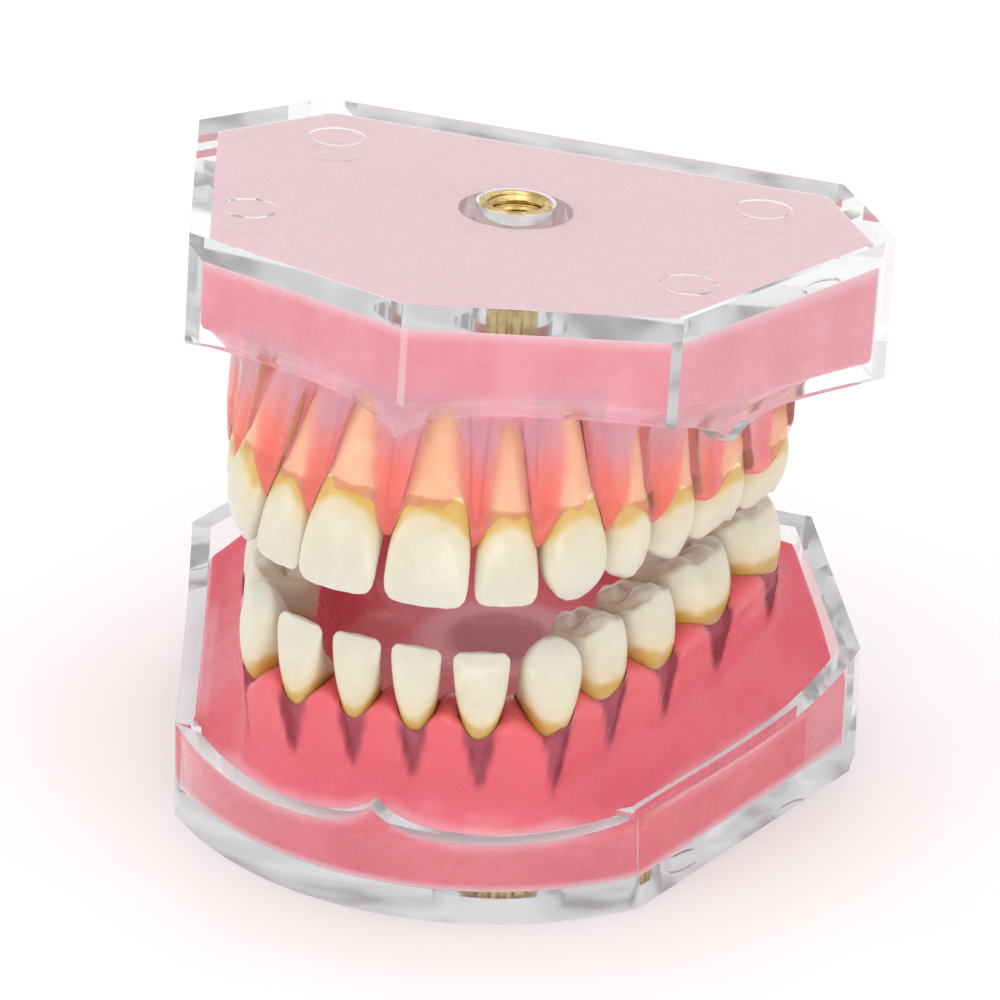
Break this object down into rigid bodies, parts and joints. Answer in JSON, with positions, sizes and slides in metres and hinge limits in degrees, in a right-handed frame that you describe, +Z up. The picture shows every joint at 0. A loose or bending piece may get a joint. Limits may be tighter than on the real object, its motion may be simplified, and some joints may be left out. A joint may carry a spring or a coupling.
{
  "type": "typodont model",
  "caption": "Dental study model: upper and lower clear trays with pink gums, removable teeth with tapered roots and a brass threaded insert in each tray.",
  "frame": {"origin": "mouth of the threaded hole in the lower tray's flat underside", "axes": "+Z up through the tray, -Y to the front of the mouth, +X to the patient's left"},
  "size_m": [0.075, 0.0633, 0.0644],
  "materials": {
    "clear_plastic": "clear moulded plastic, polished, edges bright",
    "upper_pink_resin": "translucent coral pink cast resin, glossy",
    "lower_pink_resin": "translucent deep pink cast resin, glossy",
    "tooth_resin": "ivory resin crowns, ochre necks and roots, satin",
    "brass": "knurled and threaded, machined"
  },
  "bodies": {
    "lower_jaw": {"lower_tray": "clear_plastic", "lower_gum": "lower_pink_resin", "lower_brass_insert": "brass"},
    "upper_jaw": {"upper_tray": "clear_plastic", "upper_gum": "upper_pink_resin", "upper_brass_insert": "brass"},
    "upper_left_central_incisor_body": {"upper_left_central_incisor": "tooth_resin"},
    "upper_left_lateral_incisor_body": {"upper_left_lateral_incisor": "tooth_resin"},
    "upper_left_canine_body": {"upper_left_canine": "tooth_resin"},
    "upper_left_first_premolar_body": {"upper_left_first_premolar": "tooth_resin"},
    "upper_left_second_premolar_body": {"upper_left_second_premolar": "tooth_resin"},
    "upper_left_first_molar_body": {"upper_left_first_molar": "tooth_resin"},
    "upper_left_second_molar_body": {"upper_left_second_molar": "tooth_resin"},
    "upper_right_central_incisor_body": {"upper_right_central_incisor": "tooth_resin"},
    "upper_right_lateral_incisor_body": {"upper_right_lateral_incisor": "tooth_resin"},
    "upper_right_canine_body": {"upper_right_canine": "tooth_resin"},
    "upper_right_first_premolar_body": {"upper_right_first_premolar": "tooth_resin"},
    "upper_right_second_premolar_body": {"upper_right_second_premolar": "tooth_resin"},
    "upper_right_first_molar_body": {"upper_right_first_molar": "tooth_resin"},
    "upper_right_second_molar_body": {"upper_right_second_molar": "tooth_resin"},
    "lower_left_central_incisor_body": {"lower_left_central_incisor": "tooth_resin"},
    "lower_left_lateral_incisor_body": {"lower_left_lateral_incisor": "tooth_resin"},
    "lower_left_canine_body": {"lower_left_canine": "tooth_resin"},
    "lower_left_first_premolar_body": {"lower_left_first_premolar": "tooth_resin"},
    "lower_left_second_premolar_body": {"lower_left_second_premolar": "tooth_resin"},
    "lower_left_first_molar_body": {"lower_left_first_molar": "tooth_resin"},
    "lower_left_second_molar_body": {"lower_left_second_molar": "tooth_resin"},
    "lower_right_central_incisor_body": {"lower_right_central_incisor": "tooth_resin"},
    "lower_right_lateral_incisor_body": {"lower_right_lateral_incisor": "tooth_resin"},
    "lower_right_canine_body": {"lower_right_canine": "tooth_resin"},
    "lower_right_first_premolar_body": {"lower_right_first_premolar": "tooth_resin"},
    "lower_right_second_premolar_body": {"lower_right_second_premolar": "tooth_resin"},
    "lower_right_first_molar_body": {"lower_right_first_molar": "tooth_resin"},
    "lower_right_second_molar_body": {"lower_right_second_molar": "tooth_resin"}
  },
  "joints": [
    {"name": "jaw_opening", "type": "hinge", "parent": "lower_jaw", "child": "upper_jaw", "pos_m": [0, 0.0215, 0.033], "axis": [-1, 0, 0], "range_deg": [-6.4, 30]},
    {"name": "upper_left_central_incisor_pull", "type": "slide", "parent": "upper_jaw", "child": "upper_left_central_incisor_body", "axis": [0.0436, -0.426, -0.9037], "range_m": [0, 0.013]},
    {"name": "upper_left_lateral_incisor_pull", "type": "slide", "parent": "upper_jaw", "child": "upper_left_lateral_incisor_body", "axis": [0.1391, -0.3622, -0.9217], "range_m": [0, 0.0115]},
    {"name": "upper_left_canine_pull", "type": "slide", "parent": "upper_jaw", "child": "upper_left_canine_body", "axis": [0.1623, -0.2382, -0.9576], "range_m": [0, 0.008]},
    {"name": "upper_left_first_premolar_pull", "type": "slide", "parent": "upper_jaw", "child": "upper_left_first_premolar_body", "axis": [0, -0.1115, -0.9938], "range_m": [0, 0.004]},
    {"name": "upper_left_second_premolar_pull", "type": "slide", "parent": "upper_jaw", "child": "upper_left_second_premolar_body", "axis": [-0.0502, -0.0966, -0.9941], "range_m": [0, 0.0035]},
    {"name": "upper_left_first_molar_pull", "type": "slide", "parent": "upper_jaw", "child": "upper_left_first_molar_body", "axis": [-0.0849, -0.0913, -0.9922], "range_m": [0, 0.0025]},
    {"name": "upper_left_second_molar_pull", "type": "slide", "parent": "upper_jaw", "child": "upper_left_second_molar_body", "axis": [-0.1027, -0.0913, -0.9905], "range_m": [0, 0.0015]},
    {"name": "upper_right_central_incisor_pull", "type": "slide", "parent": "upper_jaw", "child": "upper_right_central_incisor_body", "axis": [-0.0436, -0.426, -0.9037], "range_m": [0, 0.013]},
    {"name": "upper_right_lateral_incisor_pull", "type": "slide", "parent": "upper_jaw", "child": "upper_right_lateral_incisor_body", "axis": [-0.1391, -0.3622, -0.9217], "range_m": [0, 0.0115]},
    {"name": "upper_right_canine_pull", "type": "slide", "parent": "upper_jaw", "child": "upper_right_canine_body", "axis": [-0.1623, -0.2382, -0.9576], "range_m": [0, 0.008]},
    {"name": "upper_right_first_premolar_pull", "type": "slide", "parent": "upper_jaw", "child": "upper_right_first_premolar_body", "axis": [0, -0.1115, -0.9938], "range_m": [0, 0.004]},
    {"name": "upper_right_second_premolar_pull", "type": "slide", "parent": "upper_jaw", "child": "upper_right_second_premolar_body", "axis": [0.0502, -0.0966, -0.9941], "range_m": [0, 0.0035]},
    {"name": "upper_right_first_molar_pull", "type": "slide", "parent": "upper_jaw", "child": "upper_right_first_molar_body", "axis": [0.0849, -0.0913, -0.9922], "range_m": [0, 0.0025]},
    {"name": "upper_right_second_molar_pull", "type": "slide", "parent": "upper_jaw", "child": "upper_right_second_molar_body", "axis": [0.1027, -0.0913, -0.9905], "range_m": [0, 0.0015]},
    {"name": "lower_left_central_incisor_pull", "type": "slide", "parent": "lower_jaw", "child": "lower_left_central_incisor_body", "axis": [0.0052, -0.087, 0.9962], "range_m": [0, 0.0065]},
    {"name": "lower_left_lateral_incisor_pull", "type": "slide", "parent": "lower_jaw", "child": "lower_left_lateral_incisor_body", "axis": [0.0238, -0.0656, 0.9976], "range_m": [0, 0.0055]},
    {"name": "lower_left_canine_pull", "type": "slide", "parent": "lower_jaw", "child": "lower_left_canine_body", "axis": [0.0127, -0.0119, 0.9998], "range_m": [0, 0.0055]},
    {"name": "lower_left_first_premolar_pull", "type": "slide", "parent": "lower_jaw", "child": "lower_left_first_premolar_body", "axis": [-0.0486, 0.0195, 0.9986], "range_m": [0, 0.004]},
    {"name": "lower_left_second_premolar_pull", "type": "slide", "parent": "lower_jaw", "child": "lower_left_second_premolar_body", "axis": [-0.0838, 0.0241, 0.9962], "range_m": [0, 0.0035]},
    {"name": "lower_left_first_molar_pull", "type": "slide", "parent": "lower_jaw", "child": "lower_left_first_molar_body", "axis": [-0.1191, 0.0258, 0.9925], "range_m": [0, 0.0025]},
    {"name": "lower_left_second_molar_pull", "type": "slide", "parent": "lower_jaw", "child": "lower_left_second_molar_body", "axis": [-0.1372, 0.0236, 0.9903], "range_m": [0, 0.0015]},
    {"name": "lower_right_central_incisor_pull", "type": "slide", "parent": "lower_jaw", "child": "lower_right_central_incisor_body", "axis": [-0.0052, -0.087, 0.9962], "range_m": [0, 0.0065]},
    {"name": "lower_right_lateral_incisor_pull", "type": "slide", "parent": "lower_jaw", "child": "lower_right_lateral_incisor_body", "axis": [-0.0238, -0.0656, 0.9976], "range_m": [0, 0.0055]},
    {"name": "lower_right_canine_pull", "type": "slide", "parent": "lower_jaw", "child": "lower_right_canine_body", "axis": [-0.0127, -0.0119, 0.9998], "range_m": [0, 0.0055]},
    {"name": "lower_right_first_premolar_pull", "type": "slide", "parent": "lower_jaw", "child": "lower_right_first_premolar_body", "axis": [0.0486, 0.0195, 0.9986], "range_m": [0, 0.004]},
    {"name": "lower_right_second_premolar_pull", "type": "slide", "parent": "lower_jaw", "child": "lower_right_second_premolar_body", "axis": [0.0838, 0.0241, 0.9962], "range_m": [0, 0.0035]},
    {"name": "lower_right_first_molar_pull", "type": "slide", "parent": "lower_jaw", "child": "lower_right_first_molar_body", "axis": [0.1191, 0.0258, 0.9925], "range_m": [0, 0.0025]},
    {"name": "lower_right_second_molar_pull", "type": "slide", "parent": "lower_jaw", "child": "lower_right_second_molar_body", "axis": [0.1372, 0.0236, 0.9903], "range_m": [0, 0.0015]}
  ]
}
